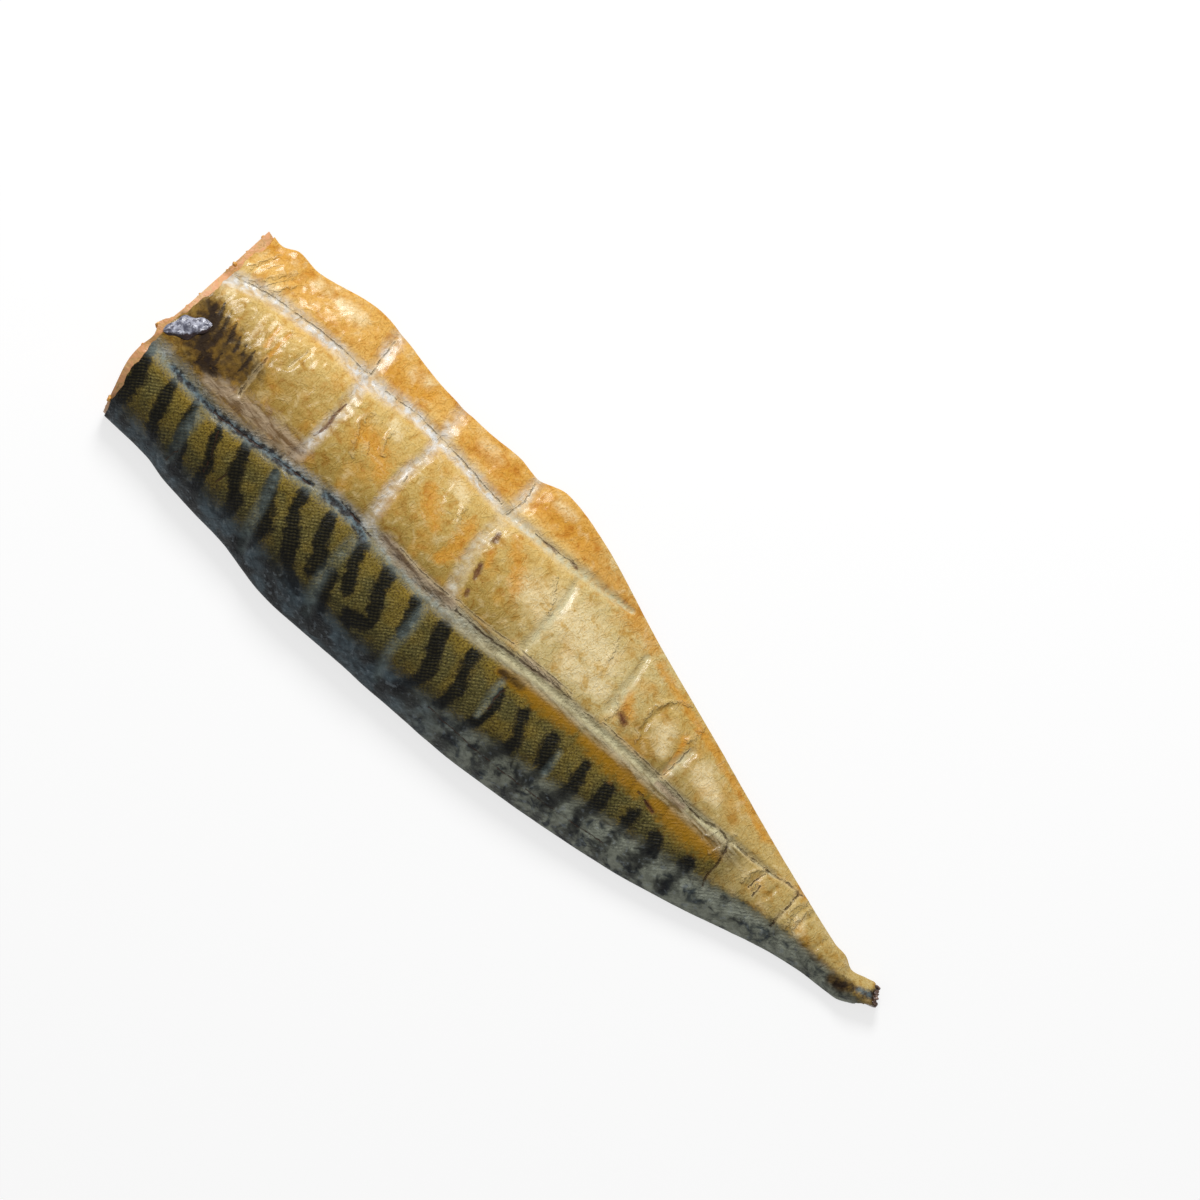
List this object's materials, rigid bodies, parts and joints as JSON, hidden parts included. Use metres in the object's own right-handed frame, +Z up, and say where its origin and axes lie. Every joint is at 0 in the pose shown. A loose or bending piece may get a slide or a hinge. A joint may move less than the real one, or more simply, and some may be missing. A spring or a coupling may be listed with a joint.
{
  "type": "smoked fish fillet",
  "caption": "Smoked fish fillet lying skin side up: striped back, golden belly with rack marks, bare flesh side flat underneath and a torn tail stub.",
  "frame": {"origin": "on the surface that the fillet lies on, at the middle of its outline", "axes": "+X along the length from the head cut to the tail stub, +Y from the back of the fish to its belly, +Z up, out of the skin side"},
  "size_m": [0.24, 0.07, 0.018],
  "materials": {
    "smoked_skin": "satin",
    "smoked_flesh": "satin"
  },
  "bodies": {
    "root": {"fillet": "smoked_skin"}
  },
  "joints": []
}
